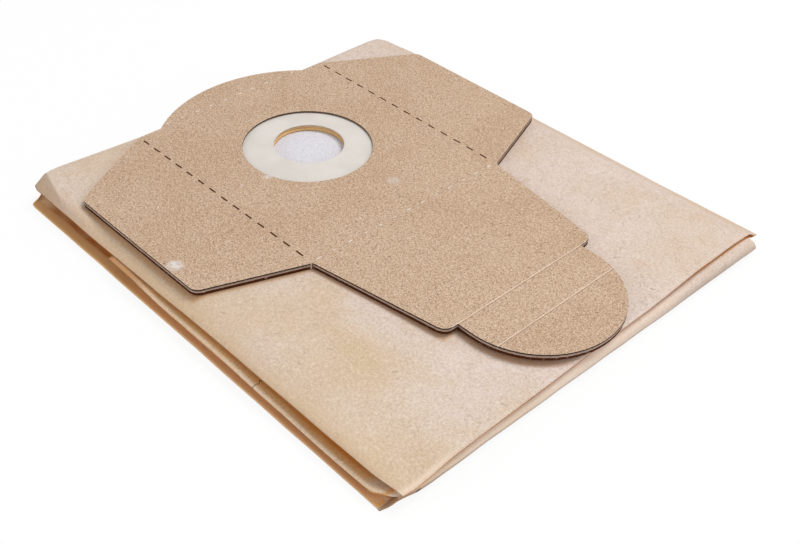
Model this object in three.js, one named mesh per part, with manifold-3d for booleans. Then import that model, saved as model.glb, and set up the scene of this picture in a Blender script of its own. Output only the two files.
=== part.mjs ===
// Vacuum dust bag, folded flat for sale.
// A gusseted paper tube is folded like a letter into three layers. Two die-cut boards are glued
// on its top layer as the collar, and clamp a soft sealing ring round the inlet. A white filter
// ply lines the tube and shows through the inlet.
//
// Units are millimetres and +Z is up. The bag lies on z = 0, and the origin is the middle of the
// outline on that plane. +X runs from the round end of the collar to its tongue, and +Y across
// the wings. Until the last step all places are taken from the inlet's axis.

import * as THREE from 'three';
import { mergeVertices } from 'three/addons/utils/BufferGeometryUtils.js';
import Module from 'manifold-3d';

const { clamp, lerp, smoothstep } = THREE.MathUtils;
const wasm = await Module();
wasm.setup();

// Room left between pieces that lie on each other
const clearance = 0.3;

// Collar boards
const top_board_thick = 1;
const bottom_board_thick = 2;
const inlet_window_radius = 35.7;
const wing_half_width = 119.5;
const wing_near_x = 60.5;
const wing_far_x = -35.5;
const wing_corner_radius = 5;
const panel_half_width = 65;
const far_edge_x = -66;
const far_corner_radius = 4;
const cap_half_width = 51;
const cap_rise = 18.5;
const tongue_root_x = 80.8;
const tongue_end_x = 157;
const tongue_end_half_width = 52.2;
const tongue_corner_radius = 5.5;
const neck_half_width = 43.6;
const neck_offset_y = -0.8;
const neck_length = 8;
const notch_radius = 1;

// Perforations and scored creases of the collar
const perforation_pitch = 10;
const perforation_cut = 5;
const perforation_width = 0.6;
const perforation_inset = 1;
const cap_perforation_inset = 2;
const crease_width = 0.8;
const crease_depth = 0.25;
const crease_spacing = 22;

// Sealing ring, glued a little off the middle of the window
const ring_x = -2.4;
const ring_y = 2.8;
const ring_thick = 0.6;
const ring_inner_radius = 19.4;
const ring_overlap = 5.3;
const ring_chamfer = 0.15;

// Folded paper tube
const paper_thick = 0.6;
const top_layer_thick = 3;
const lower_layer_thick = 4;
const middle_layer_gap = 2.5;
const top_layer_gap = 1.4;
const paper_margin = 7.8;
const middle_spread = 3.4;
const bottom_spread = 3.2;
const lower_skew = 1.6;
const gusset_depth = 55;
const gusset_crease_gap = 0.4;
const fold_shoulder = 14;
const fold_nose = 0.7;
const shoulder_level = 0.9;
const lip_level = 0.66;
const nose_level = 0.42;
const gusset_level = 0.24;
const far_fold_x = -76;
const far_fold_tuck = 9;
const sealed_end_x = 206.3;
const seam_length = 14;
const seam_thick = 1.2;
const taper_length = 41;
const roll_reach = 0.7;
const roll_tuck = 11;
const roll_tuck_length = 12;
const roll_slant = 0.016;
const tail_end_x = 4;

// White inner ply
const ply_thick = 0.3;
const ply_side_gap = 6;

// Sag of the pack at its long sides and at one near corner, as shares of the local height.
// At that corner the lower layers are also pressed flatter than the top one.
const side_sag = 0.22;
const corner_sag = 0.2;
const corner_press = 1;
const corner_sag_x = 90;

// Fineness of round shapes and of the layers
const arc_step = 4;
const turn_steps = 6;
const layer_steps = 4;
const ring_segments = 64;

// Levels, from the ground up to the top board
const lower_half_thick = lower_layer_thick / 2;
const middle_layer_z = lower_layer_thick + middle_layer_gap + lower_half_thick;
const paper_top_z = middle_layer_z + lower_half_thick + top_layer_gap + top_layer_thick;
const bottom_board_z = paper_top_z + clearance;
const top_board_z = bottom_board_z + bottom_board_thick + clearance;
const pack_height = top_board_z + top_board_thick;
const ring_z = bottom_board_z + bottom_board_thick - ring_thick;
const ring_seat_z = ring_z - clearance;
const top_layer_z = paper_top_z - top_layer_thick / 2;
const roll_top_z = paper_top_z - seam_thick - clearance - lower_half_thick;

// Places that follow from the sizes above
const ring_outer_radius = inlet_window_radius + ring_overlap;
const passage_radius = ring_inner_radius + clearance;
const tongue_arc_x = tongue_end_x + neck_length;
const tongue_tip_x = tongue_arc_x + neck_half_width;
const cap_tip_x = far_edge_x - cap_rise;
const cap_radius = (cap_half_width ** 2 + cap_rise ** 2) / (2 * cap_rise);
const cap_centre_x = cap_tip_x + cap_radius;
const far_perforation_x = far_edge_x - cap_perforation_inset;
const near_perforation_x = tongue_root_x - perforation_inset;
const top_half_width = wing_half_width + paper_margin;
const middle_half_width = top_half_width + middle_spread;
const bottom_half_width = top_half_width + bottom_spread;
const roll_half_width = top_half_width - roll_tuck;
const gusset_crease_y = top_half_width - gusset_depth;
const seam_x = sealed_end_x - seam_length;
const taper_x = seam_x - taper_length;
const far_radius = (top_layer_z - lower_half_thick) / 2;
const far_centre_x = far_fold_x + far_radius + (lower_half_thick + top_layer_thick / 2) / 2;
const roll_radius = (roll_top_z - lower_half_thick) / 2;
const roll_centre_x = sealed_end_x + roll_reach - roll_radius - lower_half_thick;
const tail_taper_x = tail_end_x + seam_length + taper_length;
const tail_z = paper_top_z - top_layer_thick - 2 * clearance - seam_thick / 2;
const channel_margin = seam_length + taper_length / 3;
const ply_margin = seam_length + taper_length;
const channel_half_width = gusset_crease_y - paper_thick;
const ply_half_width = gusset_crease_y - ply_side_gap;

const paper = new THREE.MeshStandardMaterial({ color: 0xddc7b0, roughness: 0.6, metalness: 0 });
const board = new THREE.MeshStandardMaterial({ color: 0xc8aa8a, roughness: 0.9, metalness: 0 });
const seal = new THREE.MeshStandardMaterial({ color: 0xe8dfd2, roughness: 0.45, metalness: 0 });
const fleece = new THREE.MeshStandardMaterial({ color: 0xe4e0e6, roughness: 0.95, metalness: 0 });

// A closed geometry as a solid that can be joined and cut
function solid(geometry) {
  const bare = geometry.clone();
  bare.deleteAttribute('normal');
  bare.deleteAttribute('uv');
  const welded = mergeVertices(bare, 1e-4);
  return new wasm.Manifold(new wasm.Mesh({
    numProp: 3,
    vertProperties: new Float32Array(welded.attributes.position.array),
    triVerts: new Uint32Array(welded.index.array),
  }));
}

function named(name, body, material) {
  const mesh = body.getMesh();
  const geometry = new THREE.BufferGeometry();
  geometry.setAttribute('position', new THREE.BufferAttribute(mesh.vertProperties, 3));
  geometry.setIndex(new THREE.BufferAttribute(mesh.triVerts, 1));
  geometry.computeVertexNormals();
  const part = new THREE.Mesh(geometry, material);
  part.name = name;
  return part;
}

function prism(shape, bottom, top) {
  const geometry = new THREE.ExtrudeGeometry(shape, { depth: top - bottom, bevelEnabled: false });
  return solid(geometry.translate(0, 0, bottom));
}

function disc(x, y, radius, bottom, top) {
  const geometry = new THREE.CylinderGeometry(radius, radius, top - bottom, ring_segments);
  return solid(geometry.rotateX(Math.PI / 2).translate(x, y, (bottom + top) / 2));
}

// Air passage through the ring, from a given depth up
function passage(bottom) {
  return disc(ring_x, ring_y, passage_radius, bottom, 2 * pack_height);
}

// Points on an arc from one angle to another, both ends included
function arc(x, y, radius, start, end) {
  const count = Math.max(3, Math.ceil(radius * Math.abs(end - start) / arc_step));
  return Array.from({ length: count + 1 }, (_, i) => {
    const angle = start + (end - start) * i / count;
    return new THREE.Vector2(x + radius * Math.cos(angle), y + radius * Math.sin(angle));
  });
}

// A corner rounded by an arc that touches both of its edges
function rounded(before, corner, after, radius) {
  const back = before.clone().sub(corner).normalize();
  const ahead = after.clone().sub(corner).normalize();
  const half = back.angleTo(ahead) / 2;
  const middle = back.clone().add(ahead).normalize();
  const centre = corner.clone().addScaledVector(middle, radius / Math.sin(half));
  const start = corner.clone().addScaledVector(back, radius / Math.tan(half)).sub(centre).angle();
  const end = corner.clone().addScaledVector(ahead, radius / Math.tan(half)).sub(centre).angle();
  const sweep = Math.atan2(Math.sin(end - start), Math.cos(end - start));
  return arc(centre.x, centre.y, radius, start, start + sweep);
}

// One long side of both boards, from the round cap to the tongue's round end
function collarSide(across) {
  const neck_reach = neck_half_width + across * neck_offset_y;
  const corners = [
    [far_edge_x, cap_half_width, 0],
    [far_edge_x, panel_half_width, far_corner_radius],
    [wing_far_x, wing_half_width, wing_corner_radius],
    [wing_near_x, wing_half_width, wing_corner_radius],
    [tongue_root_x, panel_half_width, notch_radius],
    [tongue_end_x, tongue_end_half_width, tongue_corner_radius],
    [tongue_end_x, neck_reach, 0],
    [tongue_arc_x, neck_reach, 0],
  ].map(([x, y, radius]) => ({ at: new THREE.Vector2(x, y), radius }));
  const side = corners.flatMap(({ at, radius }, i) => {
    if (radius === 0) return [at];
    return rounded(corners[i - 1].at, at, corners[i + 1].at, radius);
  });
  return side.map((point) => new THREE.Vector2(point.x, across * point.y));
}

// Outline of both boards: round cap, wings, tapered tongue and its round end
function collarOutline() {
  const tongueEnd = arc(tongue_arc_x, neck_offset_y, neck_half_width, Math.PI / 2, -Math.PI / 2);
  const capAngle = Math.asin(cap_half_width / cap_radius);
  const cap = arc(cap_centre_x, 0, cap_radius, Math.PI + capAngle, Math.PI - capAngle);
  const otherSide = collarSide(-1).reverse();
  return new THREE.Shape([
    ...collarSide(1), ...tongueEnd.slice(1, -1), ...otherSide, ...cap.slice(1, -1),
  ]);
}

// Centres of the cuts that fit between two ends, with equal margins
function spaced(from, to) {
  const count = Math.floor((to - from) / perforation_pitch);
  const margin = (to - from - (count - 1) * perforation_pitch) / 2;
  return Array.from({ length: count }, (_, i) => from + margin + i * perforation_pitch);
}

// All perforation cuts as one cutter that passes through both boards
function perforations() {
  const height = pack_height;
  const along = new THREE.BoxGeometry(perforation_cut, perforation_width, height);
  const across = new THREE.BoxGeometry(perforation_width, perforation_cut, height);
  const cuts = [];
  for (const side of [-1, 1]) {
    for (const x of spaced(far_perforation_x, near_perforation_x)) {
      cuts.push(solid(along.clone().translate(x, side * panel_half_width, height)));
    }
  }
  for (const y of spaced(-panel_half_width, panel_half_width)) {
    cuts.push(solid(across.clone().translate(near_perforation_x, y, height)));
  }
  for (const y of spaced(-cap_half_width + perforation_inset, cap_half_width - perforation_inset)) {
    cuts.push(solid(across.clone().translate(far_perforation_x, y, height)));
  }
  return wasm.Manifold.union(cuts);
}

// A scored line across the tongue, as a shallow V groove in the top face
function crease(x) {
  const groove = new THREE.Shape([
    new THREE.Vector2(x - crease_width / 2, pack_height),
    new THREE.Vector2(x, pack_height - crease_depth),
    new THREE.Vector2(x + crease_width / 2, pack_height),
    new THREE.Vector2(x, pack_height + crease_depth),
  ]);
  const length = 2 * panel_half_width;
  const geometry = new THREE.ExtrudeGeometry(groove, { depth: length, bevelEnabled: false });
  return solid(geometry.translate(0, 0, -length / 2).rotateX(Math.PI / 2));
}

function topBoard() {
  return prism(collarOutline(), top_board_z, pack_height)
    .subtract(disc(0, 0, inlet_window_radius, 0, 2 * pack_height))
    .subtract(perforations())
    .subtract(crease(tongue_end_x))
    .subtract(crease(tongue_end_x + crease_spacing));
}

function bottomBoard() {
  return prism(collarOutline(), bottom_board_z, top_board_z - clearance)
    .subtract(passage(0))
    .subtract(disc(ring_x, ring_y, ring_outer_radius + clearance, ring_seat_z, 2 * pack_height))
    .subtract(perforations());
}

// Flat soft ring with its edges eased, clamped between the two boards
function sealingRing() {
  const top = ring_z + ring_thick;
  const profile = [
    [ring_inner_radius, ring_z + ring_chamfer],
    [ring_inner_radius + ring_chamfer, ring_z],
    [ring_outer_radius - ring_chamfer, ring_z],
    [ring_outer_radius, ring_z + ring_chamfer],
    [ring_outer_radius, top - ring_chamfer],
    [ring_outer_radius - ring_chamfer, top],
    [ring_inner_radius + ring_chamfer, top],
    [ring_inner_radius, top - ring_chamfer],
    [ring_inner_radius, ring_z + ring_chamfer],
  ].map(([radius, z]) => new THREE.Vector2(radius, z));
  const geometry = new THREE.LatheGeometry(profile, ring_segments).rotateX(Math.PI / 2);
  return solid(geometry.translate(ring_x, ring_y, 0));
}

// The tube is described by cross-sections along its route. Each tells where its middle lies,
// which way its outer face looks (up at angle 0, to -X at PI / 2), how wide and thick it is,
// how far it is shifted along Y, and how far it leans along X for each step along Y.

// Top layer: a flat glued seam at its end, then growing to its full thickness
function topLayerAt(x) {
  const full = clamp((seam_x - x) / taper_length, 0, 1);
  const halfThick = lerp(seam_thick, top_layer_thick, full) / 2;
  const z = paper_top_z - halfThick;
  return { x, z, angle: 0, halfWidth: top_half_width, halfThick, shift: 0, slant: 0 };
}

// Share of the way from the far fold to the near roll
function nearness(x) {
  return (x - far_centre_x) / (roll_centre_x - far_centre_x);
}

function bottomLayerAt(x) {
  return {
    x,
    z: lower_half_thick,
    angle: Math.PI,
    halfWidth: bottom_half_width,
    halfThick: lower_half_thick,
    shift: lerp(lower_skew, -lower_skew, nearness(x)),
    slant: roll_slant * nearness(x),
  };
}

// Middle layer: its corners are tucked in at the roll, it comes down from there, and it rises
// again to a flat glued seam at the tail
function middleLayerAt(x) {
  const down = clamp((roll_centre_x - x) / (roll_centre_x - taper_x), 0, 1);
  const untucked = clamp((roll_centre_x - x) / roll_tuck_length, 0, 1);
  const sealed = clamp((tail_taper_x - x) / taper_length, 0, 1);
  return {
    x,
    z: lerp(lerp(roll_top_z, middle_layer_z, down), tail_z, sealed),
    angle: 2 * Math.PI,
    halfWidth: lerp(roll_half_width, middle_half_width, untucked),
    halfThick: lerp(lower_half_thick, seam_thick / 2, sealed),
    shift: lerp(lower_skew, -lower_skew, nearness(x)),
    slant: roll_slant * nearness(x),
  };
}

// Half a turn about an axis along Y, from one layer round to the next. The long sides are
// tucked in by a given amount halfway round.
function turn(x, from, to, tuck) {
  const radius = Math.abs(from.z - to.z) / 2;
  return Array.from({ length: turn_steps - 1 }, (_, i) => {
    const share = (i + 1) / turn_steps;
    const angle = lerp(from.angle, to.angle, share);
    return {
      x: x - radius * Math.sin(angle),
      z: (from.z + to.z) / 2 + radius * Math.cos(angle),
      angle,
      halfWidth: lerp(from.halfWidth, to.halfWidth, share ** 2) - tuck * Math.sin(Math.PI * share),
      halfThick: lerp(from.halfThick, to.halfThick, share),
      shift: lerp(from.shift, to.shift, share),
      slant: lerp(from.slant, to.slant, share),
    };
  });
}

// Positions from one end to the other, both included
function evenly(from, to, parts) {
  return Array.from({ length: parts + 1 }, (_, i) => lerp(from, to, i / parts));
}

// The tube's route: from its sealed end back to the far fold, under it and along the ground to
// the near roll, and back in between to its tail. The margin shortens both ends.
function route(margin) {
  const start_x = sealed_end_x - margin;
  const end_x = tail_end_x + margin;
  const topMarks = [seam_x, ...evenly(taper_x, far_centre_x, layer_steps)];
  const middleMarks = [
    roll_centre_x,
    roll_centre_x - roll_tuck_length,
    ...evenly(taper_x, tail_taper_x, layer_steps),
    tail_end_x + seam_length,
  ];
  const top = [start_x, ...topMarks.filter((x) => x < start_x)].map(topLayerAt);
  const bottom = evenly(far_centre_x, roll_centre_x, layer_steps).map(bottomLayerAt);
  const middle = [...middleMarks.filter((x) => x > end_x), end_x].map(middleLayerAt);
  return [
    ...top,
    ...turn(far_centre_x, top.at(-1), bottom[0], far_fold_tuck),
    ...bottom,
    ...turn(roll_centre_x, bottom.at(-1), middle[0], 0),
    ...middle,
  ];
}

// Outside of the flattened tube: two panels that thin out towards the long sides, and between
// them a gusset folded in at each side. The levels named above are shares of the half thickness.
// The [y, level] points go round anticlockwise.
function tubeSection({ halfWidth, halfThick }) {
  const crease = gusset_crease_gap / 2;
  const quarter = [
    [halfWidth / 3, halfThick],
    [halfWidth * 2 / 3, halfThick],
    [halfWidth - fold_shoulder, halfThick],
    [halfWidth - fold_shoulder / 2, shoulder_level * halfThick],
    [halfWidth - 2 * fold_nose, lip_level * halfThick],
    [halfWidth, nose_level * halfThick],
    [halfWidth - fold_nose, gusset_level * halfThick],
    [gusset_crease_y, crease],
  ];
  const flip = (across, up) => quarter.map(([y, level]) => [across * y, up * level]);
  return [...flip(1, -1), ...flip(1, 1).reverse(), ...flip(-1, 1), ...flip(-1, -1).reverse()];
}

// Plain flat channel inside the tube, a given wall in from its outer faces
function channelSection(halfWidth, wall) {
  return ({ halfThick }) => {
    const level = halfThick - wall;
    return [
      ...evenly(-halfWidth, halfWidth, 4).map((y) => [y, -level]),
      ...evenly(halfWidth, -halfWidth, 4).map((y) => [y, level]),
    ];
  };
}

// Skin over a row of cross-sections, closed by a flat face at each end
function loft(stations, section) {
  const loops = stations.map(section);
  const size = loops[0].length;
  const points = stations.flatMap((at, i) => loops[i].flatMap(([y, level]) => [
    at.x - level * Math.sin(at.angle) + at.slant * y,
    at.shift + y,
    at.z + level * Math.cos(at.angle),
  ]));
  const faces = [];
  for (let i = 0; i + 1 < stations.length; i += 1) {
    for (let j = 0; j < size; j += 1) {
      const [a, b] = [i * size + j, i * size + (j + 1) % size];
      faces.push(a, a + size, b, b, a + size, b + size);
    }
  }
  const outline = (loop) => loop.map(([y, level]) => new THREE.Vector2(y, level));
  const last = (stations.length - 1) * size;
  THREE.ShapeUtils.triangulateShape(outline(loops[0]), [])
    .forEach(([a, b, c]) => faces.push(a, b, c));
  THREE.ShapeUtils.triangulateShape(outline(loops.at(-1)), [])
    .forEach(([a, b, c]) => faces.push(last + c, last + b, last + a));
  const geometry = new THREE.BufferGeometry();
  geometry.setAttribute('position', new THREE.Float32BufferAttribute(points, 3));
  geometry.setIndex(faces);
  return geometry;
}

// The pack sinks along its long sides and at the near corner on the -Y side. Each point keeps
// its share of the local height, so no layer passes through the next.
function settle(geometry) {
  const places = geometry.attributes.position;
  for (let i = 0; i < places.count; i += 1) {
    const [x, y] = [places.getX(i), places.getY(i)];
    const side = smoothstep(Math.abs(y), top_half_width - fold_shoulder, top_half_width);
    const corner = smoothstep(x, corner_sag_x, sealed_end_x) * smoothstep(-y, 0, top_half_width);
    const level = Math.max(0, places.getZ(i) / paper_top_z) ** (1 + corner_press * corner);
    places.setZ(i, paper_top_z * level * (1 - side_sag * side) * (1 - corner_sag * corner));
  }
  return geometry;
}

function tubeSolid(margin, section) {
  return solid(settle(loft(route(margin), section)));
}

function paperBag() {
  return tubeSolid(0, tubeSection)
    .subtract(tubeSolid(channel_margin, channelSection(channel_half_width, paper_thick)))
    .subtract(passage(top_layer_z));
}

function innerPly() {
  const wall = paper_thick + clearance;
  const outside = tubeSolid(ply_margin, channelSection(ply_half_width, wall));
  const inside = tubeSolid(ply_margin + ply_thick,
    channelSection(ply_half_width - ply_thick, wall + ply_thick));
  return outside.subtract(inside).subtract(passage(top_layer_z));
}

const group = new THREE.Group();
group.add(
  named('collar_top_board', topBoard(), board),
  named('collar_bottom_board', bottomBoard(), board),
  named('sealing_ring', sealingRing(), seal),
  named('paper_bag', paperBag(), paper),
  named('inner_ply', innerPly(), fleece),
);
group.position.x = -(cap_tip_x + tongue_tip_x) / 2;

export default group;
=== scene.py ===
import math
import random

import bmesh
import bpy
from mathutils import Matrix, Vector, noise


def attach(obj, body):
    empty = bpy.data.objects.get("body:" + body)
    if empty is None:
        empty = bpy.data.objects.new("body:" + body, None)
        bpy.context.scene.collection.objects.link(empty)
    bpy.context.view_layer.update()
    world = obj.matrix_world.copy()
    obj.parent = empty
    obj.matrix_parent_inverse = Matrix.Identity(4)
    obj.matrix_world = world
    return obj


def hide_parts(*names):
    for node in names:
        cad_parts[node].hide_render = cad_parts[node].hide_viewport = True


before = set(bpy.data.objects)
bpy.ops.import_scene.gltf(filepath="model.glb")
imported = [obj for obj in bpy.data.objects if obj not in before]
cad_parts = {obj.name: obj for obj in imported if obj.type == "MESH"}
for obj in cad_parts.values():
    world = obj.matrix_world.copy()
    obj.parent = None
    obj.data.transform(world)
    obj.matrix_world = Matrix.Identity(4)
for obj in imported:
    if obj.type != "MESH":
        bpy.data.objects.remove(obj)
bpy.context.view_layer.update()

# Lengths are millimetres from the inlet's axis until a mesh is finished, as in the part's source.
MM = 0.001
INLET_X = -62.05

# Folded paper tube
SHEET = 0.28
TOP_HALF_WIDTH = 127.3
MIDDLE_HALF_WIDTH = 130.7
BOTTOM_HALF_WIDTH = 130.5
GUSSET_CREASE_Y = 72.3
TOP_HALF_THICK = 1.5
LOWER_HALF_THICK = 2.0
PAPER_TOP_Z = 14.9
TOP_LAYER_Z = PAPER_TOP_Z - TOP_HALF_THICK
MIDDLE_LAYER_Z = 8.5
ROLL_TOP_Z = 11.4
TAIL_Z = 10.7
SEAM_HALF_THICK = 0.45
SEALED_END_X = 206.3
SEAM_X = 192.3
TAPER_LENGTH = 41.0
TAPER_X = SEAM_X - TAPER_LENGTH
FAR_CENTRE_X = -68.55
ROLL_CENTRE_X = 200.3
ROLL_SLANT = 0.016
ROLL_SQUARE = 1.45
TAIL_END_X = 4.0
SEAM_LENGTH = 14.0
TAIL_TAPER_X = TAIL_END_X + SEAM_LENGTH + TAPER_LENGTH
SKEW = 1.6
FACET_WIDTH = 8.3

# Cuts across the panel
CUT_PITCH = 10.0
CUT_LENGTH = 5.0
TORN_FAR_X = -68.0
TORN_NEAR_X = 79.8
CAP_CUT_HALF = 50.0
PANEL_CUT_HALF = 65.0

# The collar's outline, in metres: the long cuts, where their dashes start, and the wing's end
LONG_CUT_Y = PANEL_CUT_HALF * MM
LONG_CUT_START = -0.0641
WING_END = 0.1195

# Torn fibres in the cuts across the panel
FIBRE_WIDTH = 0.3
FIBRE_HEIGHT = 0.9
FIBRE_Z = 18.13
FIBRE_TIP_Z = 18.2
FIBRE_OFFSET = 0.14

# Passage through the ring
RING_X = -2.4
RING_Y = 2.8
PASSAGE_RADIUS = 19.7
INLET_LIP_Z = 13.3


def lerp(a, b, share):
    return a + (b - a) * share


def clamp01(value):
    return min(1.0, max(0.0, value))


def smooth(value, low, high):
    share = clamp01((value - low) / (high - low))
    return share * share * (3 - 2 * share)


def along(value, points):
    """Straight lines through (value, result) points, flat beyond both ends."""
    if value <= points[0][0]:
        return points[0][1]
    for (a, low), (b, high) in zip(points, points[1:]):
        if value <= b:
            return lerp(low, high, (value - a) / (b - a))
    return points[-1][1]


def steps(start, end, pitch):
    """Positions from start up to, but not including, end."""
    count = max(1, round(abs(end - start) / pitch))
    return [lerp(start, end, i / count) for i in range(count)]


def wave(x, y, scale, seed):
    """Smooth noise from -1 to 1 over the flat bag."""
    return noise.noise(Vector((x / scale, y / scale, seed)))


# How a panel runs out to its lip: distance in from the side, level as a share of the half
# thickness, and how deep in the folds it lies, from 0 in the open to 1 inside.
# The depth sets how much painted orange light and painted shade the paper gets there.
PLAIN = [(16, 1, 0), (12, .985, 0), (9, .94, 0), (7, .88, 0), (5, .8, 0), (3.4, .73, 0), (2, .66, 0),
         (1.1, .59, 0), (.5, .52, 0), (.12, .45, 0)]
RIDGE = [(16, 1, 0), (12, 1, 0), (9, 1, 0), (7.6, 1, 0), (6, .87, 0), (4, .71, 0), (2, .56, 0),
         (1.1, .5, 0), (.5, .47, 0), (.12, .45, 0)]
INSIDE = [(inset, level, 1) for inset, level, depth in PLAIN]
CRISP = [(16, 1, 0), (12, 1, 0), (9, 1, 0), (7, 1, 0), (5, 1, 0), (3.4, .99, 0), (2, .97, 0),
         (1.1, .92, 0), (.5, .84, 0), (.12, .74, 0)]
HOLLOW = [(16, .98, 1), (12, .9, 1), (9, .74, 1), (7, .5, 1), (5, .24, .9), (3.4, .1, .7), (2, .03, .35),
          (1.1, .02, .1), (.5, .04, 0), (.12, .03, 0)]
LOW = [(16, .95, 1), (12, .75, 1), (9, .42, .5), (7, .12, .3), (5, -.14, .12), (3.4, -.32, .05),
       (2, -.46, 0), (1.1, -.54, 0), (.5, -.6, 0), (.12, -.63, 0)]
PANEL_COLUMNS = 24

# The flap behind the lip: distance in from the side, and level from 0 at the crease to 1 at the lip
FLAP = [(.3, 1.0), (1.2, .9), (3, .8), (7, .65), (11, .54), (15, .45), (19.5, .37), (24, .3),
        (28, .25), (33, .19), (38, .14), (42, .1), (47, .05), (51, .02)]

# The most that the lip turns in and that the crease stands open, and both as shares of a thin layer
LIP_DROP, LIP_DROP_SHARE = 0.5, 0.4
CREASE_OPEN, CREASE_OPEN_SHARE = 0.2, 0.3
CREASE_WIDTH = 0.4


def side_points(half_width, half_thick, panel):
    """[y, level, depth] of one panel from its middle to its lip, and its flap back to the crease."""
    level = half_thick - SHEET / 2
    lip_drop = min(LIP_DROP, LIP_DROP_SHARE * half_thick)
    crease = min(CREASE_OPEN, CREASE_OPEN_SHARE * half_thick)
    first_inset, first_share, inner = panel[0]
    reach = half_width - first_inset
    points = [(reach * i / PANEL_COLUMNS, level * first_share, inner) for i in range(1, PANEL_COLUMNS)]
    points += [(half_width - inset, level * share, depth) for inset, share, depth in panel]
    lip = level * panel[-1][1]
    points.append((half_width, lip - lip_drop / 2, panel[-1][2]))
    points += [(half_width - inset, lerp(crease, lip - lip_drop, share), 1) for inset, share in FLAP]
    points.append((GUSSET_CREASE_Y + CREASE_WIDTH, crease, 1))
    return points


def section(station):
    """The sheet's [y, level, depth] loop, anticlockwise seen against the route."""
    half_thick = station["half_thick"]
    outer, inner = station["profiles"]
    quarters = {}
    for across, width in zip((-1, 1), station["widths"]):
        for up, panel in ((1, outer), (-1, inner)):
            points = side_points(width, half_thick, panel)
            quarters[across, up] = [(across * y, up * level, depth) for y, level, depth in points]
    level = half_thick - SHEET / 2
    loop = [(0, -level * inner[0][1], inner[0][2])] + quarters[1, -1] + [(GUSSET_CREASE_Y, 0, 1)]
    loop += quarters[1, 1][::-1] + [(0, level * outer[0][1], outer[0][2])] + quarters[-1, 1]
    loop += [(-GUSSET_CREASE_Y, 0, 1)] + quarters[-1, -1][::-1]
    return loop


def mixed(a, b, share):
    return [tuple(lerp(p, q, share) for p, q in zip(one, other)) for one, other in zip(a, b)]


# Width of the far corner's facet along x, as a share of the full one, how far in from the side the
# ridge follows it, and between which places the side turns plain.
FACET_RUN = [(FAR_CENTRE_X, 1), (-60, 0.72), (-51, 0.48), (-25, 0.3)]
FACET_REACH = 10
FACET_FADE = (-40, -5)

# How much narrower the top layer is at its near end on -Y, and at its far end on +Y
NEAR_END_NARROWER = 1.6
FAR_END_NARROWER = 3.2

# Sag of the long sides as a share of their height: the top layer's at its far end and elsewhere,
# its -Y side's along x, the middle layer's along x and on +Y before the roll, and the bottom's.
TOP_SAG_FAR, TOP_SAG = 0.17, 0.27
TOP_SIDE_SAG = [(-69, .17), (-45, .24), (-7, .265), (36, .235), (76, .19), (146, .17), (172, .11),
                (190, .1), (204, .13)]
MIDDLE_SIDE_SAG = [(40, .125), (79, .045), (200, .05)]
MIDDLE_SAG_RIGHT = 0.24
BOTTOM_SAG = 0.4

# How much further out the lowest layer's -Y side reaches
LOW_REACH = [(-68, 1.4), (-41, .9), (39, .7), (79, .2), (116, .4), (150, 0)]

# By share of the half turn, on the -Y and the +Y side: how wide the roll is, and how far the far
# fold is tucked in.
ROLL_WIDTHS = [(0, 130.5, 131.5), (.15, 130.8, 131), (.3, 127, 129.8), (.42, 122.5, 127.5),
               (.55, 122.5, 125), (.7, 124.5, 122.4), (.85, 126.3, 120.8), (1, 127.3, 120.2)]
FAR_TUCKS = [(0, 0, 0), (.0625, 1.0, 3), (.12, 4.5, 5), (.2, 8.6, 6.2), (.35, 9.2, 7), (.5, 9.2, 7),
             (.6, 7, 5), (.7, 3, 3), (.85, .4, .6), (1, 0, 0)]

# The middle layer's two half widths along x, up to the roll's own
MIDDLE_LEFT = [(90, MIDDLE_HALF_WIDTH), (150, MIDDLE_HALF_WIDTH - 0.7),
               (196.5, MIDDLE_HALF_WIDTH - 0.9), (ROLL_CENTRE_X, ROLL_WIDTHS[-1][1])]
MIDDLE_RIGHT = [(60, MIDDLE_HALF_WIDTH), (150, MIDDLE_HALF_WIDTH - 2.5),
                (188, MIDDLE_HALF_WIDTH - 2.8), (ROLL_CENTRE_X, ROLL_WIDTHS[-1][2])]
ROLL_OPENING = 9


def facet_share(x):
    """How wide the far corner's facet still is at x. It runs out along the long side."""
    return along(x, FACET_RUN)


def top_station(x):
    full = clamp01((SEAM_X - x) / TAPER_LENGTH)
    half = lerp(SEAM_HALF_THICK, TOP_HALF_THICK, full)
    ridge = [(inset * facet_share(x) if inset < FACET_REACH else inset, level, depth)
             for inset, level, depth in RIDGE]
    side = mixed(ridge, PLAIN, smooth(x, *FACET_FADE))
    left = TOP_HALF_WIDTH - NEAR_END_NARROWER * smooth(x, 190, 205)
    right = TOP_HALF_WIDTH - FAR_END_NARROWER * (1 - smooth(x, -52, -20))
    return dict(x=x, z=PAPER_TOP_Z - half, angle=0.0, widths=(left, right), half_thick=half,
                shift=0.0, slant=0.0, profiles=(side, INSIDE), layer="top", share=0.0,
                sag=lerp(TOP_SAG_FAR, TOP_SAG, smooth(x, -74, -30)))


def askew(x):
    """How far the lower layers lie to one side at x, and how much they slant there."""
    near = clamp01((x - FAR_CENTRE_X) / (ROLL_CENTRE_X - FAR_CENTRE_X))
    return dict(shift=lerp(SKEW, -SKEW, near), slant=ROLL_SLANT * near)


def bottom_station(x):
    widths = (BOTTOM_HALF_WIDTH + along(x, LOW_REACH), BOTTOM_HALF_WIDTH)
    return dict(x=x, z=LOWER_HALF_THICK, angle=math.pi, widths=widths, half_thick=LOWER_HALF_THICK,
                profiles=(PLAIN, LOW), layer="bottom", share=0.0, sag=BOTTOM_SAG, **askew(x))


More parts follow.
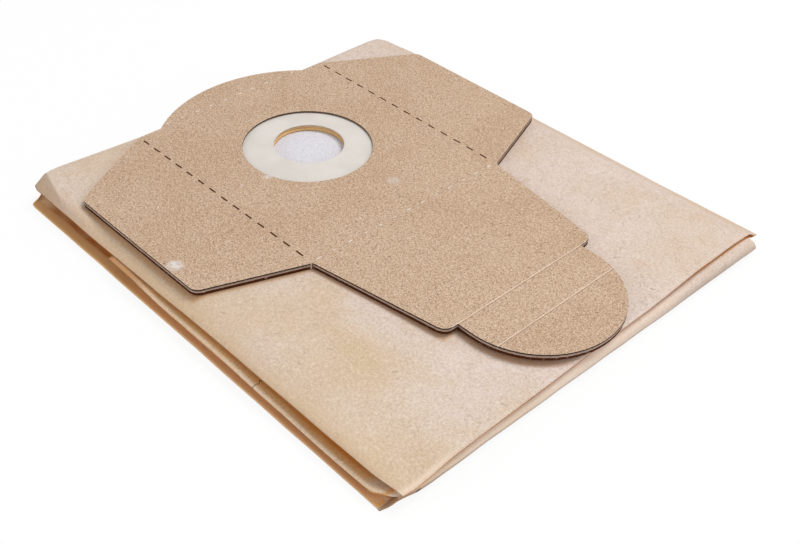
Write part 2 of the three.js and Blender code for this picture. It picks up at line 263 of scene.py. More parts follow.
def middle_station(x):
    down = clamp01((ROLL_CENTRE_X - x) / (ROLL_CENTRE_X - TAPER_X))
    open_out = smooth(ROLL_CENTRE_X - x, 0, ROLL_OPENING)
    sealed = clamp01((TAIL_TAPER_X - x) / TAPER_LENGTH)
    return dict(x=x, z=lerp(lerp(ROLL_TOP_Z, MIDDLE_LAYER_Z, down), TAIL_Z, sealed),
                angle=2 * math.pi, widths=(along(x, MIDDLE_LEFT), along(x, MIDDLE_RIGHT)),
                half_thick=lerp(LOWER_HALF_THICK, SEAM_HALF_THICK, sealed),
                profiles=(mixed(INSIDE, HOLLOW, open_out), INSIDE), layer="middle", share=1.0,
                sag=along(x, MIDDLE_SIDE_SAG), **askew(x))


def turn(x, start, end, count, square, layer, side_widths):
    """Half a turn about an axis along Y. A high square value flattens its top and its nose."""
    radius = abs(start["z"] - end["z"]) / 2
    made = []
    for i in range(1, count):
        share = i / count
        angle = math.pi * share
        reach = radius * math.sin(angle) ** (1 / square)
        rise = radius * math.copysign(abs(math.cos(angle)) ** (1 / square), math.cos(angle))
        if start["z"] < end["z"]:
            reach, rise = -reach, -rise
        station = {key: lerp(start[key], end[key], share)
                   for key in ("angle", "half_thick", "shift", "slant", "sag")}
        station.update(
            x=x - reach, z=(start["z"] + end["z"]) / 2 + rise, layer=layer, share=share,
            profiles=tuple(mixed(a, b, share) for a, b in zip(start["profiles"], end["profiles"])),
            widths=side_widths(share, start, end))
        made.append(station)
    return made


def two_sides(share, table):
    """The -Y and the +Y value from a table by share of the half turn."""
    return [along(share, [(row[0], row[side]) for row in table]) for side in (1, 2)]


def far_widths(share, start, end):
    full = [lerp(a, b, share) for a, b in zip(start["widths"], end["widths"])]
    return tuple(width - tuck for width, tuck in zip(full, two_sides(share, FAR_TUCKS)))


def roll_widths(share, start, end):
    return tuple(two_sides(share, ROLL_WIDTHS))


def route():
    """The stations that the sheet passes, from the top layer's sealed end to the tail."""
    marks = steps(SEALED_END_X, SEAM_X, 2) + steps(SEAM_X, FAR_CENTRE_X, 3.4) + [FAR_CENTRE_X]
    top = [top_station(x) for x in marks]
    bottom = [bottom_station(x) for x in steps(FAR_CENTRE_X, ROLL_CENTRE_X, 5) + [ROLL_CENTRE_X]]
    marks = steps(ROLL_CENTRE_X, 188, 1.5) + steps(188, TAIL_END_X + SEAM_LENGTH, 5)
    marks += steps(TAIL_END_X + SEAM_LENGTH, TAIL_END_X, 3) + [TAIL_END_X]
    middle = [middle_station(x) for x in marks]
    far = turn(FAR_CENTRE_X, top[-1], bottom[0], 16, 1.0, "far", far_widths)
    near = turn(ROLL_CENTRE_X, bottom[-1], middle[0], 20, ROLL_SQUARE, "near", roll_widths)
    for station in near:
        crisp = smooth(station["share"], 0.05, 0.3) * (1 - smooth(station["share"], 0.85, 1.0))
        outer, inner = station["profiles"]
        station["profiles"] = (mixed(outer, CRISP, crisp), inner)
    return top + far + bottom + near + middle


# By place across the bag: how square the far fold is and how far it reaches further out, how much
# the top layer's near end hangs, the roll's height under it as a share of its full one, how far
# the roll's nose is set back, and how far the top layer's near end bows in.
FAR_SQUARE = [(-127, .22), (-112, .25), (-90, .5), (-60, 1), (50, 1), (90, .6), (118, .35)]
FAR_REACH = [(-127, -1.5), (-119, 1.6), (-110, 2.2), (-60, 0), (110, 0)]
END_SAG = [(-127, 2.6), (-124.3, 3.4), (-120, 5.0), (-116, 5.8), (-107, 5.0), (-99, 3.5), (-81, 2.95),
           (-63, 2.8), (-37, 2.2), (-3, 1.4), (35, 1.0), (60, -.4), (75, -.9), (101, -.8), (115, -.4),
           (127, 0)]
ROLL_HEIGHT = [(-127, .58), (-117, .51), (-108, .53), (-96, .60), (-60, .71), (-2, .81), (60, .91),
               (116, 1.0)]
NOSE_SETBACK = [(-131, 2.0), (-124.4, 2.4), (-120, 1.5), (-115.6, .3), (-110, 0)]
END_BOW = [(50, 0), (75, .6), (105, .6), (125, 0)]

# By share of the half turn: how deep in the folds the roll's end on -Y looks, which sets its painted
# shade
ROLL_END_DEPTH = [(0, .1), (.22, .2), (.38, .6), (.5, .5), (.58, .05), (.7, 0), (.8, .05), (.9, .5),
                  (1, .8)]

# How far in from the side a layer starts to come down, and that near the roll on +Y
FOLD_SHOULDER = 14.0
NEAR_SHOULDER = 9.0

INNER_PANEL_HANG = 1.8
FAR_CORNER_PRESSED = 0.6

# Unevenness of the paper: heights in the middle, more at the sides, and along the sides and nose
CRUMPLE, SIDE_CRUMPLE = 0.10, 0.22
SIDE_WANDER = 0.3
NOSE_WANDER = 0.5


def roll_squash(x, y):
    """Share of its height that is left of the lower layers and the roll."""
    begin = lerp(85, 150, smooth(y, -127, -60))
    return lerp(1, along(y, ROLL_HEIGHT), smooth(x, begin, 190))


def side_share(station, x, y):
    """How far a layer has come down towards its long side: 0 inside the shoulder, 1 at the lip."""
    shoulder = FOLD_SHOULDER if y < 0 else lerp(FOLD_SHOULDER, NEAR_SHOULDER, smooth(x, 188, 205))
    side = smooth(abs(y), TOP_HALF_WIDTH - shoulder, TOP_HALF_WIDTH)
    if station["layer"] in ("near", "middle") and y > 0:
        side *= 1 - smooth(x, 194, 201)
    if station["layer"] in ("top", "far"):
        facet = FACET_WIDTH * facet_share(x)
        crease = clamp01((abs(y) - TOP_HALF_WIDTH + facet) / facet)
        side = lerp(crease, side, smooth(x, *FACET_FADE))
    return side


def side_sag(station, x, y):
    """The share of its height that a layer loses at its long side."""
    if station["layer"] == "top" and y < 0:
        return along(x, TOP_SIDE_SAG)
    if station["layer"] == "middle" and y > 0:
        return lerp(MIDDLE_SAG_RIGHT, station["sag"], smooth(x, 192, 200))
    return station["sag"]


def placed(station, y, level):
    """Where a point of the sheet lies once the pack has settled."""
    layer, share, angle = station["layer"], station["share"], station["angle"]
    x = station["x"] - level * math.sin(angle) + station["slant"] * y
    z = station["z"] + level * math.cos(angle)
    if layer == "far":
        lean = math.sin(math.pi * share)
        round_x = (TOP_LAYER_Z - LOWER_HALF_THICK) / 2
        x -= (round_x + along(y, FAR_REACH)) * lean ** along(y, FAR_SQUARE) - round_x * lean
    y += station["shift"]
    z *= 1 - side_sag(station, x, y) * side_share(station, x, y)
    if layer == "top":
        z -= along(y, END_SAG) * smooth(x, 112, 206)
        if level < 0:
            hanging = smooth(y, 112, 119) * (1 - smooth(y, 121, 127)) * smooth(x, 190, 205)
            z -= INNER_PANEL_HANG * hanging
        x -= along(y, END_BOW) * smooth(x, 190, 206)
    else:
        z *= roll_squash(x, y)
    if layer == "far":
        z *= lerp(1, FAR_CORNER_PRESSED, smooth(-y, 110, 126) * smooth(share, 0.45, 0.62))
    if layer == "bottom":
        z *= lerp(1, FAR_CORNER_PRESSED, smooth(-y, 110, 126) * (1 - smooth(x, -60, 0)))
    if layer == "near":
        x -= along(y, NOSE_SETBACK) * math.sin(math.pi * share) ** (1 / ROLL_SQUARE)
    at_side = smooth(abs(y), 90, 127)
    crumple = CRUMPLE + SIDE_CRUMPLE * max(at_side, smooth(x, 150, 205))
    z += crumple * wave(x, y, 38, 1.3 * math.cos(angle))
    y += SIDE_WANDER * at_side * wave(x, 0, 26, 4.1 + math.cos(angle)) * math.copysign(1, y)
    if layer == "near":
        x += NOSE_WANDER * smooth(share, 0.1, 0.5) * wave(y, z, 17, 7.7)
    return Vector((x, y, max(z, SHEET / 2)))


# The depth found here becomes the fold_depth attribute, which sets the paper's painted shade and orange
# light.
def depth_at(station, y, depth, level):
    """How deep in the folds a point looks. The roll's outer face goes dark where the top layer covers
    it and in the tuck at its end, and the middle layer is paler towards both of its ends."""
    if station["layer"] == "middle" and level > 0:
        lip_end = smooth(station["x"], 186, 196) * smooth(-y, 115, 121)
        return depth * lerp(0.35, 1, smooth(station["x"], 12, 40)) * lerp(1, 0.15, lip_end)
    if station["layer"] == "near" and level > 0:
        share = station["share"]
        return lerp(smooth(share, 0.82, 0.93), along(share, ROLL_END_DEPTH), smooth(-y, 114, 120))
    return depth


def finished(name, bm, material, replaced=()):
    """Turns a mesh in millimetres into a piece of the bag."""
    place = Matrix.Scale(MM, 4) @ Matrix.Translation((INLET_X, 0, 0))
    bmesh.ops.transform(bm, matrix=place, verts=bm.verts)
    mesh = bpy.data.meshes.new(name)
    bm.to_mesh(mesh)
    bm.free()
    piece = bpy.data.objects.new(name, mesh)
    bpy.context.scene.collection.objects.link(piece)
    mesh.materials.append(material)
    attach(piece, "root")
    if replaced:
        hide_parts(*replaced)
    return piece


def folded_paper(material):
    stations = route()
    loops = [section(s) for s in stations]
    columns = len(loops[0])
    rows = len(stations)
    bm = bmesh.new()
    bmesh.ops.create_grid(bm, x_segments=columns, y_segments=rows - 1, size=0.5)
    depths = bm.verts.layers.float.new("fold_depth")
    lattice = {}
    for vert in bm.verts:
        i = round((vert.co.y + 0.5) * (rows - 1))
        j = round((vert.co.x + 0.5) * columns) % columns
        lattice[vert] = stations[i]
        y, level, depth = loops[i][j]
        vert.co = placed(stations[i], y, level)
        vert[depths] = depth_at(stations[i], y, depth, level)
    hole = []
    for face in bm.faces:
        centre = face.calc_center_median()
        if (all(lattice[v]["layer"] == "top" for v in face.verts)
                and math.hypot(centre.x - RING_X, centre.y - RING_Y) < PASSAGE_RADIUS
                and centre.z > TOP_LAYER_Z):
            hole.append(face)
    rim = {v for f in hole for v in f.verts if any(g not in hole for g in v.link_faces)}
    bmesh.ops.delete(bm, geom=hole, context="FACES")
    for vert in rim:
        away = Vector((vert.co.x - RING_X, vert.co.y - RING_Y, 0)).normalized() * PASSAGE_RADIUS
        vert.co.x, vert.co.y = RING_X + away.x, RING_Y + away.y
    rim_edges = [e for e in bm.edges if e.is_boundary and e.verts[0] in rim and e.verts[1] in rim]
    turned_in = bmesh.ops.extrude_edge_only(bm, edges=rim_edges)["geom"]
    for vert in turned_in:
        if isinstance(vert, bmesh.types.BMVert):
            vert.co.z = INLET_LIP_Z
    bmesh.ops.remove_doubles(bm, verts=bm.verts, dist=1e-4)
    bmesh.ops.recalc_face_normals(bm, faces=bm.faces)
    for face in bm.faces:
        face.smooth = True
    piece = finished("folded_paper", bm, material, ("paper_bag",))
    wall = piece.modifiers.new("sheet thickness", "SOLIDIFY")
    wall.thickness = SHEET * MM
    wall.offset = 0
    return piece


class Field:
    """A value in a material. Arithmetic on it adds the Math nodes."""

    def __init__(self, finish, socket):
        self.finish = finish
        self.socket = socket

    def _math(self, operation, *values):
        return self.finish.node("ShaderNodeMath", {"operation": operation}, *values)

    def __add__(self, other):
        return self._math("ADD", self, other)

    __radd__ = __add__

    def __sub__(self, other):
        return self._math("SUBTRACT", self, other)

    def __rsub__(self, other):
        return self._math("SUBTRACT", other, self)

    def __mul__(self, other):
        return self._math("MULTIPLY", self, other)

    __rmul__ = __mul__

    def __truediv__(self, other):
        return self._math("DIVIDE", self, other)

    def __pow__(self, other):
        return self._math("POWER", self, other)

    def __abs__(self):
        return self._math("ABSOLUTE", self)

    def above(self, low, high):
        """0 below low, 1 above high, smooth between. With low above high it falls instead."""
        if low > high:
            return 1 - self.above(high, low)
        settings = {"interpolation_type": "SMOOTHSTEP"}
        return self.finish.node("ShaderNodeMapRange", settings, self, low, high, 0.0, 1.0)

    def least(self, other):
        return self._math("MINIMUM", self, other)

    def most(self, other):
        return self._math("MAXIMUM", self, other)

    def capped(self):
        """The sum or product just made, kept from 0 to 1."""
        self.socket.node.use_clamp = True
        return self


class Finish:
    """A procedural material made of nodes."""

    def __init__(self, name, roughness, specular):
        self.material = bpy.data.materials.new(name)
        self.material.use_nodes = True
        self.tree = self.material.node_tree
        self.shader = self.tree.nodes["Principled BSDF"]
        self.shader.inputs["Roughness"].default_value = roughness
        self.shader.inputs["Specular IOR Level"].default_value = specular
        self.place = self.node("ShaderNodeTexCoord", {}, out="Object")

    def node(self, kind, settings, *values, out=0, **named):
        made = self.tree.nodes.new(kind)
        for key, value in settings.items():
            setattr(made, key, value)
        for key, value in list(enumerate(values)) + list(named.items()):
            socket = made.inputs[key.replace("_", " ") if isinstance(key, str) else key]
            if isinstance(value, Field):
                self.tree.links.new(value.socket, socket)
            else:
                socket.default_value = value
        return Field(self, made.outputs[out])

    def axis(self, index):
        return self.node("ShaderNodeSeparateXYZ", {}, self.place, out=index)

    def noise(self, scale, detail, rough=0.5, place=None):
        values = dict(Vector=place or self.place, Scale=scale, Detail=detail, Roughness=rough)
        return self.node("ShaderNodeTexNoise", {}, **values)

    def curls(self, scale, width, seed):
        """Thin curly lines, where smooth noise crosses its middle value."""
        shift = (seed, seed * 0.7, seed * 0.3)
        moved = self.node("ShaderNodeVectorMath", {"operation": "ADD"}, self.place, shift)
        return abs(self.noise(scale, 1.0, place=moved) - 0.5).above(width, width * 0.2)

    def distance(self, x, y, centre_x, centre_y):
        """Distance from a point of the flat bag."""
        a, b = x - centre_x, y - centre_y
        return (a * a + b * b) ** 0.5

    def mix(self, share, first, second):
        """Two colours mixed by a share."""
        made = self.tree.nodes.new("ShaderNodeMix")
        made.data_type = "RGBA"
        for index, value in ((0, share), (6, first), (7, second)):
            if isinstance(value, Field):
                self.tree.links.new(value.socket, made.inputs[index])
            else:
                made.inputs[index].default_value = value
        return Field(self, made.outputs[2])

    def feed(self, name, field):
        self.tree.links.new(field.socket, self.shader.inputs[name])

    def bump(self, height, distance, strength):
        values = dict(Strength=strength, Distance=distance, Height=height)
        self.feed("Normal", self.node("ShaderNodeBump", {}, **values))


def colour(red, green, blue):
    """A colour as it looks on screen, from 0 to 255 each."""
    def linear(value):
        value /= 255
        return value / 12.92 if value <= 0.04045 else ((value + 0.055) / 1.055) ** 2.4
    return (linear(red), linear(green), linear(blue), 1.0)


def fibres(finish, cell, length, width, share, turned):
    """Short thin hairs, one in some of the cells of a loose grid, each at its own angle."""
    about_z = {"rotation_type": "Z_AXIS"}
    spot = finish.node("ShaderNodeVectorRotate", about_z, Vector=finish.place, Angle=turned)
    flat = finish.node("ShaderNodeVectorMath", {"operation": "MULTIPLY"}, spot, (1 / cell,) * 3)
    cells = finish.node("ShaderNodeTexVoronoi", {}, out="Position", Vector=flat, Scale=1.0)
    tint = Field(finish, cells.socket.node.outputs["Color"])
    away = finish.node("ShaderNodeVectorMath", {"operation": "SUBTRACT"}, flat, cells)
    angle = finish.node("ShaderNodeSeparateColor", {}, tint, out=0) * (2 * math.pi)
    lot = finish.node("ShaderNodeSeparateColor", {}, tint, out=1)
    bend = finish.node("ShaderNodeSeparateColor", {}, tint, out=2) - 0.5
    own = finish.node("ShaderNodeVectorRotate", about_z, Vector=away, Angle=angle)
    lengthways = finish.node("ShaderNodeSeparateXYZ", {}, own, out=0)
    across = finish.node("ShaderNodeSeparateXYZ", {}, own, out=1)
    curved = abs(across + bend * 3.0 * lengthways * lengthways)
    near = curved.above(width / cell, width / cell * 0.4)
    inside = abs(lengthways).above(length / cell / 2, length / cell / 2 * 0.7)
    chosen = lot.above(1 - share, 1 - share + 0.02)
    return near * inside * chosen


# Places and widths in the finishes below are metres from the inlet's axis, unless in a named size.


def sheet_colour_and_warm_light(f, x, y, pulp, fine):
    """Plain paper, warmer towards the -Y side in painted warm light, with its fibres and a few dark
    hairs.
    """
    cloud = f.noise(22.0, 3.0)
    cloudy = cloud.above(0.38, 0.62)
    # Painted warm light: the paper turns warmer and a little darker towards the -Y side.
    painted_warm_light = (y + (cloud - 0.5) * 0.2).above(-0.02, -0.115) * (x.above(-0.05, 0.0) * 0.65 + 0.35)
    plain = f.mix(cloudy, colour(214, 194, 179), colour(218, 201, 192))
    base = f.mix(painted_warm_light, plain, f.mix(cloudy, colour(205, 180, 148), colour(209, 187, 161)))
    base = f.mix(pulp.above(0.45, 0.7) * 0.4, base, colour(204, 178, 150))
    base = f.mix(fine.above(0.47, 0.6) * 0.44, base, colour(190, 163, 136))
    return f.mix(fine.above(0.45, 0.38) * 0.25, base, colour(232, 216, 200))


def fold_light_and_shade(f, base, x, y, z, pulp, fine):
    """Painted orange light from sheet to sheet, deeper in the folds, and painted shade under an open
    lip.
    """
    depth = f.node("ShaderNodeAttribute", {"attribute_name": "fold_depth"}, out="Fac")
    uneven = (depth + (pulp - 0.5) * 0.5 * depth.above(0.05, 0.4)).capped()
    shade = f.mix(fine.above(0.4, 0.65), colour(222, 174, 118), colour(206, 154, 98))
    base = f.mix(uneven.above(0.0, 0.6), base, shade)
    base = f.mix(uneven.above(0.6, 1.0), base, colour(216, 142, 64))
    # Painted shade under an open lip
    under = depth.above(0.8, 0.95) * z.above(0.0085, 0.0098)
    base = f.mix(under * 0.8, base, colour(170, 102, 46))

    # Painted light on the lowest layer's sides
    lowest = abs(y).above(0.119, 0.125) * z.above(0.0042, 0.003) * x.above(0.2, 0.196)
    lowest_side_light = f.mix(x.above(0.0, 0.08), colour(236, 190, 134), colour(236, 198, 152))
    base = f.mix(lowest * 0.7, base, lowest_side_light)
    # Painted shade in the hollow behind the lowest layer's -Y lip, up to where the tail starts
    hollow = z.above(0.0007, 0.0009) * z.above(0.006, 0.005) * y.above(-0.112, -0.116)
    hollow = hollow * y.above(-0.1262, -0.1246) * x.above(0.03, 0.0) * x.above(-0.068, -0.056)
    base = f.mix(hollow * (pulp.above(0.3, 0.7) * 0.3 + 0.65), base, colour(178, 98, 24))
    # Painted shade on the middle layer's tail, under the top layer's lip
    tail = x.above(0.045, 0.02) * z.above(0.0085, 0.009) * z.above(0.0104, 0.01)
    base = f.mix(tail * y.above(-0.125, -0.127) * 0.65, base, colour(170, 118, 70))
    return base, depth


def roll_light_shade_and_tint(f, base, depth, x, y, z, pulp):
    """The roll's nose: painted shade low down, painted light in the open, greyer high up towards +Y, and
    painted shade in a small hole at its -Y end.
    """
    # Painted shade along the roll's nose low down
    painted_low_shade = x.above(0.1985, 0.2) * (z + (pulp - 0.5) * 0.002).above(0.0054, 0.0040)
    base = f.mix(painted_low_shade * 0.7, base, colour(140, 112, 88))
    # Painted shade in a small hole at the roll's -Y end
    hole_shade = f.distance(y, z, -0.1152, 0.0034).above(0.0017, 0.0008) * x.above(0.2015, 0.2025)
    base = f.mix(hole_shade * 0.85, base, colour(78, 40, 18))
    # Painted light on the roll's nose where it lies in the open
    painted_roll_light = x.above(0.2025, 0.2045) * y.above(0.08, 0.03)
    painted_roll_light = painted_roll_light * z.above(0.003, 0.0045) * z.above(0.0118, 0.0108)
    base = f.mix(painted_roll_light * (1 - depth.least(1.0)) * 0.6, base, colour(232, 210, 188))
    # Greyer paper high up on the nose towards +Y
    greyer_upper_nose = x.above(0.2025, 0.205) * (z + (pulp - 0.5) * 0.006).above(0.0095, 0.0055)
    return f.mix(greyer_upper_nose * y.above(-0.01, 0.1) * 0.6, base, colour(176, 154, 138))


def facet_shade(f, base, x, y, z):
    """The far corner's facet, seen from its crease outwards."""
    crease = 0.1172 + ((x + 0.076).most(0.0) * 0.25).least(0.0075)
    facet = (0 - y - crease).above(0.0, 0.0012) * z.above(0.0095, 0.0103)
    return f.mix(facet * (x.above(-0.03, -0.062) * 0.35 + 0.1), base, colour(140, 108, 78))


def collar_shade(f, base, x, y, z):
    """The collar's edges darken the paper beside them on the side away from the light."""
    wing = (0 - y - WING_END).most((x - 0.0605) * 0.936 - (y + WING_END) * 0.349)
    tongue = ((x - 0.0808) * 0.165 - (y + LONG_CUT_Y) * 0.986).most(x - 0.156)
    tip = f.distance(x, y, 0.165, -0.0008) - 0.0436
    away = wing.least(tongue).least(tip)
    shaded = y.above(-0.012, -0.03) * x.above(-0.036, -0.033) * z.above(0.0105, 0.0115)
    return f.mix(away.above(0.0030, 0.0003) * shaded * 0.6, base, colour(178, 124, 70))


def edge_tear(f, base, x, y, z):
    """A short crooked tear in the middle layer's -Y lip."""
    wiggle = f.noise(700.0, 1.0) * 0.0022 - 0.0011
    tear = abs(x - wiggle - 0.1181).above(0.00028, 0.0001) * y.above(-0.1255, -0.1262)
    tear = tear * z.above(0.0045, 0.005) * z.above(0.0098, 0.009)
    return f.mix(tear * 0.9, base, colour(74, 36, 12))


def paper_finish():
    f = Finish("cream_paper", 0.5, 0.36)
    x, y, z = f.axis(0) - INLET_X * MM, f.axis(1), f.axis(2)
    pulp = f.noise(90.0, 4.0, rough=0.6)
    fine = f.noise(900.0, 3.0, rough=0.7)
    dark_curls = f.curls(330.0, 0.026, 1.7) * f.noise(75.0, 1.0).above(0.42, 0.6)
    pale_curls = f.curls(300.0, 0.026, 9.3)
    base = sheet_colour_and_warm_light(f, x, y, pulp, fine)
    base = f.mix(dark_curls * 0.42, base, colour(172, 144, 118))
    base = f.mix(pale_curls * 0.3, base, colour(234, 220, 204))
    hairs = fibres(f, 0.017, 0.0036, 0.0002, 0.26, 0.3)
    hairs = hairs.most(fibres(f, 0.009, 0.0024, 0.00016, 0.3, 1.4) * 0.7)
    base = f.mix(hairs * 0.6, base, colour(100, 76, 60))
    # Painted shade on the long sides of the upper layers, where the sheet bends down
    edge = abs(y).above(0.1185, 0.128) * z.above(0.008, 0.0095)
    base = f.mix(edge * 0.5, base, colour(200, 168, 134))
    base, depth = fold_light_and_shade(f, base, x, y, z, pulp, fine)
    base = roll_light_shade_and_tint(f, base, depth, x, y, z, pulp)
    base = facet_shade(f, base, x, y, z)
    base = collar_shade(f, base, x, y, z)
    reach = f.distance(x, y, RING_X * MM, RING_Y * MM)
    base = f.mix(reach.above(0.0206, 0.0200), base, colour(222, 178, 120))
    base = edge_tear(f, base, x, y, z)
    f.feed("Base Color", base)
    f.feed("Roughness", 0.5 + 0.12 * pulp)
    height = fine * 0.25 + pulp + f.noise(260.0, 3.0) * 0.5 + pale_curls * 0.3 - dark_curls * 0.3
    f.bump(height, 0.00012, 0.6)
    return f.material


# Pale spots of paste on the collar: place, radius and strength
PASTE_SPOTS = [(0.0098, -0.0358, 0.0030, 0.75), (0.0391, -0.1150, 0.0055, 0.8),
               (0.0560, 0.0120, 0.0050, 0.35), (0.0070, -0.0507, 0.0009, 1.0)]
TONGUE_CREASES = (0.157, 0.179)


def board_grain(f, grain, felt, dark_curls, pale_curls):
    """Grey board's face: felted fibres, with dark and light specks."""
    cloud = f.noise(30.0, 2.0)
    base = f.mix(cloud.above(0.38, 0.62), colour(196, 166, 138), colour(204, 176, 149))
    base = f.mix(felt.above(0.42, 0.6) * 0.3, base, colour(180, 148, 120))
    base = f.mix(grain.above(0.5, 0.6) * 0.54, base, colour(150, 116, 88))
    base = f.mix(grain.above(0.46, 0.38) * 0.5, base, colour(232, 210, 188))
    base = f.mix(dark_curls * felt.above(0.4, 0.55) * 0.7, base, colour(128, 96, 70))
    base = f.mix(pale_curls * 0.62, base, colour(232, 209, 187))
    specks = f.node("ShaderNodeTexVoronoi", {}, out="Distance", Vector=f.place, Scale=150.0)
    tint = Field(f, specks.socket.node.outputs["Color"])
    lot = f.node("ShaderNodeSeparateColor", {}, tint, out=0)
    dark = specks.above(0.1, 0.05) * lot.above(0.86, 0.88)
    light = specks.above(0.09, 0.04) * lot.above(0.04, 0.03)
    base = f.mix(dark * 0.8, base, colour(92, 62, 46))
    return f.mix(light * 0.8, base, colour(240, 232, 224))


def board_marks_and_crease_shade(f, base, x, y, grain, felt):
    """Paste, the tongue's two creases with painted shade in their grooves, a scuff, and the long cuts'
    rims darker.
    """
    for spot_x, spot_y, radius, strength in PASTE_SPOTS:
        away = f.distance(x, y, spot_x, spot_y)
        smear = away.above(radius, radius * 0.3) * felt.above(0.36, 0.56).most(0.4)
        base = f.mix(smear * strength, base, colour(232, 226, 226))
    for crease_x in TONGUE_CREASES:
        line = abs(x - crease_x).above(0.0004, 0.00015)
        base = f.mix(line * 0.85 * grain.above(0.7, 0.5), base, colour(240, 222, 202))
        # Painted shade in each crease's groove, beside its pale line
        crease_groove_shade = abs(x - crease_x - 0.0006).above(0.0004, 0.0001)
        base = f.mix(crease_groove_shade * 0.45, base, colour(136, 104, 80))
    scuff = abs(x - 0.1345).above(0.0005, 0.0001) * abs(y + 0.0306).above(0.026, 0.02)
    base = f.mix(scuff * 0.25, base, colour(232, 212, 192))
    step = (x - LONG_CUT_START) / (CUT_PITCH * MM)
    whole = f.node("ShaderNodeMath", {"operation": "FLOOR"}, step)
    dash = abs(step - whole - 0.5).above(0.265, 0.245)
    dash = dash * x.above(-0.0655, -0.065) * x.above(0.0766, 0.076)
    # The top face darker along the long cuts' dashes
    darker_cut_rims = abs(abs(y) - LONG_CUT_Y).above(0.0007, 0.0004) * dash
    return f.mix(darker_cut_rims * 0.85, base, colour(104, 66, 40))


def cut_faces(f, x, y, z):
    """Cut faces: crushed and dark at the top, a pale core, and darker glued board below, with painted
    shade on the long cuts' walls and the cross cuts' walls pale, partly painted light and partly their
    torn fibres.
    """
    rough_cut = f.noise(500.0, 3.0, rough=0.7)
    rim = z + (rough_cut - 0.5) * 0.0005
    cut = f.mix(rim.above(0.01755, 0.0178), colour(192, 172, 160), colour(56, 42, 40))
    cut = f.mix(rim.above(0.01685, 0.01665), cut, colour(84, 44, 22))
    cut = f.mix(rim.above(0.0161, 0.0153), cut, colour(58, 28, 14))
    cut = f.mix(rough_cut.above(0.62, 0.7) * 0.5, cut, colour(190, 170, 156))
    reach = f.distance(x, y, 0.0, 0.0)
    cut = f.mix(reach.above(0.0372, 0.0368), cut, colour(96, 80, 70))
    cut = f.mix(reach.above(0.0252, 0.0248), cut, colour(212, 176, 128))
    # Painted shade on the long cuts' walls
    long_cut_wall_shade = abs(abs(y) - LONG_CUT_Y).above(0.0009, 0.0007)
    long_cut_wall_shade = long_cut_wall_shade * x.above(-0.0695, -0.0690) * x.above(0.0812, 0.0808)
    cut = f.mix(long_cut_wall_shade, cut, colour(116, 70, 40))
    # The cross cuts' walls pale: partly painted light on their lit far walls, partly the colour of their
    # torn fibres
    cross_cut_light_and_fibres = abs(x - TORN_FAR_X * MM).above(0.0009, 0.0007)
    cross_cut_light_and_fibres = cross_cut_light_and_fibres.most(abs(x - TORN_NEAR_X * MM).above(0.0009, 0.0007))
    return f.mix(cross_cut_light_and_fibres * abs(y).above(0.0665, 0.0655), cut, colour(238, 226, 214))


def board_finish():
    f = Finish("grey_board", 0.95, 0.06)
    x, y, z = f.axis(0) - INLET_X * MM, f.axis(1), f.axis(2)
    grain = f.noise(1300.0, 3.0, rough=0.7)
    felt = f.noise(640.0, 2.0, rough=0.6)
    dark_curls = f.curls(800.0, 0.05, 3.1)
    pale_curls = f.curls(760.0, 0.05, 12.4)
    face = board_grain(f, grain, felt, dark_curls, pale_curls)
    face = board_marks_and_crease_shade(f, face, x, y, grain, felt)
    normal = f.node("ShaderNodeNewGeometry", {}, out="Normal")
    up = abs(f.node("ShaderNodeSeparateXYZ", {}, normal, out=2))
    f.feed("Base Color", f.mix(up.above(0.5, 0.3), face, cut_faces(f, x, y, z)))
    f.bump(grain + felt + pale_curls * 0.4 - dark_curls * 0.4, 0.00022, 0.7)
    return f.material


def seal_finish():
    f = Finish("cream_seal", 0.4, 0.4)
    cloud = f.noise(60.0, 3.0)
    fine = f.noise(900.0, 2.0)
    base = f.mix(cloud.above(0.35, 0.65), colour(213, 206, 198), colour(219, 213, 206))
    f.feed("Base Color", base)
    f.feed("Roughness", 0.36 + cloud * 0.14)
    f.bump(cloud * 2.0 + fine * 0.3, 0.0001, 0.5)
    return f.material


def fleece_finish():
    f = Finish("white_fleece", 0.95, 0.15)
    tangle = f.noise(1000.0, 3.0, rough=0.7)
    cloud = f.noise(200.0, 3.0)
    dots = f.curls(500.0, 0.03, 5.5)
    base = f.mix(tangle.above(0.4, 0.62), colour(209, 207, 213), colour(227, 225, 230))
    base = f.mix(cloud.above(0.4, 0.7) * 0.3, base, colour(217, 214, 222))
    base = f.mix(dots * 0.25, base, colour(190, 185, 197))
    f.feed("Base Color", base)
    f.bump(tangle + cloud + dots * 0.5, 0.0002, 0.6)
    return f.material


def floor_finish():
    f = Finish("studio_floor", 0.9, 0.1)
    f.shader.inputs["Base Color"].default_value = (0.9, 0.9, 0.9, 1)
    path = f.node("ShaderNodeLightPath", {}, out="Is Camera Ray")
    seen = path.most(Field(f, path.socket.node.outputs["Is Glossy Ray"]))
    seen = seen.most(Field(f, path.socket.node.outputs["Is Transmission Ray"]))
    white = f.node("ShaderNodeEmission", {}, Color=(1, 1, 1, 1), Strength=1.0)
    both = f.node("ShaderNodeMixShader", {}, seen * 0.9, Field(f, f.shader.outputs[0]), white)
    f.tree.links.new(both.socket, f.tree.nodes["Material Output"].inputs["Surface"])
    return f.material


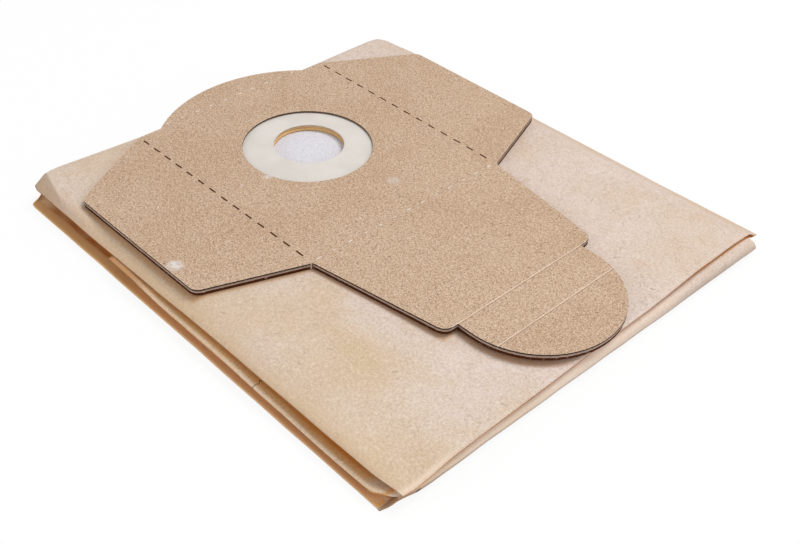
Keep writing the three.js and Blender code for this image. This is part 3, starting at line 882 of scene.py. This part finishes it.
def torn_fibres(material):
    """Pale fibres that stand in the cuts across the panel."""
    shuffle = random.Random(5)
    bm = bmesh.new()
    for x, half_width in ((TORN_FAR_X, CAP_CUT_HALF), (TORN_NEAR_X, PANEL_CUT_HALF)):
        count = int(2 * half_width // CUT_PITCH)
        margin = half_width - (count - 1) * CUT_PITCH / 2
        for i in range(count):
            middle = -half_width + margin + i * CUT_PITCH
            for lean in (-1, 1):
                made = bmesh.ops.create_cube(bm, size=1.0)["verts"]
                length = CUT_LENGTH * shuffle.uniform(0.6, 0.85)
                size = Matrix.Diagonal((FIBRE_WIDTH, length, FIBRE_HEIGHT, 1))
                twist = Matrix.Rotation(shuffle.uniform(-0.02, 0.02), 4, "Z")
                y = middle + shuffle.uniform(-0.4, 0.4)
                place = Matrix.Translation((x + FIBRE_OFFSET * lean, y, FIBRE_Z))
                bmesh.ops.transform(bm, matrix=place @ twist @ size, verts=made)
                for vert in made:
                    if vert.co.z > FIBRE_TIP_Z:
                        vert.co.y = lerp(vert.co.y, middle, 0.25)
    return finished("torn_fibres", bm, material)


def fibre_finish():
    f = Finish("torn_board", 0.9, 0.1)
    base = f.mix(f.noise(900.0, 2.0).above(0.4, 0.6), colour(242, 232, 222), colour(214, 194, 174))
    f.feed("Base Color", base)
    return f.material


FLOOR_HALF = 3.0
FLOOR_BELOW = 0.0001
SKY_LIGHT = 0.43

# Name, place, size and power of each lamp. All of them point at the middle of the bag.
LAMPS = [("key_lamp", (0.35, 0.95, 1.9), 0.9, 27.5),
         ("side_lamp", (1.1, 0.0, 0.6), 0.7, 3.4),
         ("front_lamp", (-0.5, -1.2, 0.5), 0.8, 5.0)]


def studio():
    bm = bmesh.new()
    bmesh.ops.create_grid(bm, x_segments=1, y_segments=1, size=FLOOR_HALF)
    mesh = bpy.data.meshes.new("studio_floor")
    bm.to_mesh(mesh)
    bm.free()
    mesh.materials.append(floor_finish())
    floor = bpy.data.objects.new("studio_floor", mesh)
    floor.location.z = -FLOOR_BELOW
    bpy.context.scene.collection.objects.link(floor)

    world = bpy.data.worlds.new("studio")
    bpy.context.scene.world = world
    world.use_nodes = True
    tree = world.node_tree
    sky = tree.nodes["Background"]
    sky.inputs["Color"].default_value = (1, 1, 1, 1)
    sky.inputs["Strength"].default_value = SKY_LIGHT
    white = tree.nodes.new("ShaderNodeBackground")
    white.inputs["Color"].default_value = (1, 1, 1, 1)
    white.inputs["Strength"].default_value = 1.0
    path = tree.nodes.new("ShaderNodeLightPath")
    both = tree.nodes.new("ShaderNodeMixShader")
    tree.links.new(path.outputs["Is Camera Ray"], both.inputs[0])
    tree.links.new(sky.outputs[0], both.inputs[1])
    tree.links.new(white.outputs[0], both.inputs[2])
    tree.links.new(both.outputs[0], tree.nodes["World Output"].inputs["Surface"])

    for name, place, size, power in LAMPS:
        data = bpy.data.lights.new(name, "AREA")
        data.size = size
        data.energy = power
        lamp = bpy.data.objects.new(name, data)
        lamp.location = place
        lamp.rotation_euler = (-Vector(place)).to_track_quat("-Z", "Y").to_euler()
        bpy.context.scene.collection.objects.link(lamp)


CAMERA_PLACE = (0.338896, -0.329754, 0.351926)
CAMERA_RIGHT = Vector((0.69167969, 0.72143441, 0.03334061))
CAMERA_UP = Vector((-0.47397764, 0.41862868, 0.77465813))
CAMERA_BACK = Vector((0.5449077, -0.551618, 0.63150074))
CAMERA_LENS = 50.08


def camera():
    data = bpy.data.cameras.new("camera")
    data.sensor_width = 36.0
    data.lens = CAMERA_LENS
    data.clip_start = 0.01
    seen = bpy.data.objects.new("camera", data)
    turned = Matrix((CAMERA_RIGHT, CAMERA_UP, CAMERA_BACK)).transposed().to_4x4()
    seen.matrix_world = Matrix.Translation(CAMERA_PLACE) @ turned
    bpy.context.scene.collection.objects.link(seen)
    bpy.context.scene.camera = seen


def dressed(node, material):
    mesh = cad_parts[node].data
    mesh.materials.clear()
    mesh.materials.append(material)


camera()
studio()
board = board_finish()
dressed("collar_top_board", board)
dressed("collar_bottom_board", board)
dressed("sealing_ring", seal_finish())
dressed("inner_ply", fleece_finish())
folded_paper(paper_finish())
torn_fibres(fibre_finish())

bpy.context.scene.view_settings.view_transform = "Standard"
